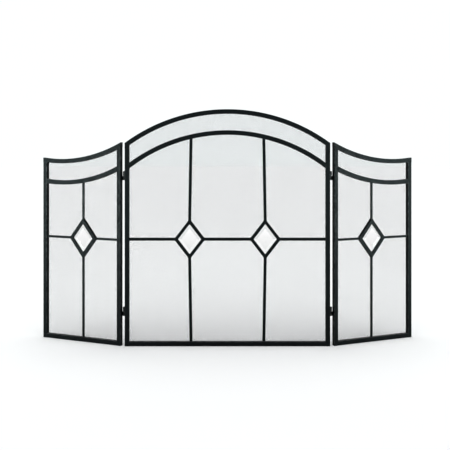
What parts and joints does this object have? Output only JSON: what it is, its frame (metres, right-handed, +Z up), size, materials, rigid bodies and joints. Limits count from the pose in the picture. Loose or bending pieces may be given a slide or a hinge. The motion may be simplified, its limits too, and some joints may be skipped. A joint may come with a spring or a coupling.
{
  "type": "fireplace screen",
  "caption": "Three-panel folding fireplace screen: arched centre and two curved-top wings of black steel tube, fine mesh and bevelled glass diamonds.",
  "frame": {"origin": "on the floor, under the middle of the whole screen's box with the wings at rest", "axes": "+Z up, -Y towards the viewer of the front, +X to the viewer's right along the centre panel"},
  "size_m": [1.2918, 0.136, 0.792],
  "materials": {
    "powder_coat": "satin black powder coat, slightly worn on edges",
    "hinge": "satin black powder coat",
    "mesh": "satin black fine diamond mesh",
    "glass": "polished clear, bevelled",
    "pin_steel": "blackened steel",
    "plastic": "matte black"
  },
  "bodies": {
    "centre_panel": {"centre_outer_arch_rail": "powder_coat", "centre_inner_arch_rail": "powder_coat", "centre_bottom_rail": "powder_coat", "centre_mesh": "mesh", "centre_left_post": "powder_coat", "centre_left_foot_plug": "plastic", "centre_left_lower_bar": "powder_coat", "centre_left_upper_bar": "powder_coat", "centre_left_level_bar": "powder_coat", "centre_left_diamond_frame": "powder_coat", "centre_left_glass_diamond": "glass", "centre_right_post": "powder_coat", "centre_right_foot_plug": "plastic", "centre_right_lower_bar": "powder_coat", "centre_right_upper_bar": "powder_coat", "centre_right_level_bar": "powder_coat", "centre_right_diamond_frame": "powder_coat", "centre_right_glass_diamond": "glass", "centre_middle_level_bar": "powder_coat", "left_lower_hinge_centre_knuckle": "hinge", "left_upper_hinge_centre_knuckle": "hinge", "right_lower_hinge_centre_knuckle": "hinge", "right_upper_hinge_centre_knuckle": "hinge"},
    "left_wing": {"left_wing_upper_rail": "powder_coat", "left_wing_lower_rail": "powder_coat", "left_wing_bottom_rail": "powder_coat", "left_wing_mesh": "mesh", "left_wing_inner_post": "powder_coat", "left_wing_outer_post": "powder_coat", "left_wing_inner_foot_plug": "plastic", "left_wing_outer_foot_plug": "plastic", "left_wing_inner_level_bar": "powder_coat", "left_wing_outer_level_bar": "powder_coat", "left_wing_lower_bar": "powder_coat", "left_wing_upper_bar": "powder_coat", "left_wing_diamond_frame": "powder_coat", "left_wing_glass_diamond": "glass", "left_lower_hinge_wing_knuckle": "hinge", "left_lower_hinge_pin": "pin_steel", "left_upper_hinge_wing_knuckle": "hinge", "left_upper_hinge_pin": "pin_steel"},
    "right_wing": {"right_wing_upper_rail": "powder_coat", "right_wing_lower_rail": "powder_coat", "right_wing_bottom_rail": "powder_coat", "right_wing_mesh": "mesh", "right_wing_inner_post": "powder_coat", "right_wing_outer_post": "powder_coat", "right_wing_inner_foot_plug": "plastic", "right_wing_outer_foot_plug": "plastic", "right_wing_inner_level_bar": "powder_coat", "right_wing_outer_level_bar": "powder_coat", "right_wing_lower_bar": "powder_coat", "right_wing_upper_bar": "powder_coat", "right_wing_diamond_frame": "powder_coat", "right_wing_glass_diamond": "glass", "right_lower_hinge_wing_knuckle": "hinge", "right_lower_hinge_pin": "pin_steel", "right_upper_hinge_wing_knuckle": "hinge", "right_upper_hinge_pin": "pin_steel"}
  },
  "joints": [
    {"name": "left_fold", "type": "hinge", "parent": "centre_panel", "child": "left_wing", "pos_m": [-0.3472, -0.04954, 0.341], "axis": [0, 0, -1], "range_deg": [-42.5, 157.5]},
    {"name": "right_fold", "type": "hinge", "parent": "centre_panel", "child": "right_wing", "pos_m": [0.3472, -0.04954, 0.341], "axis": [0, 0, 1], "range_deg": [-42.5, 157.5]}
  ]
}
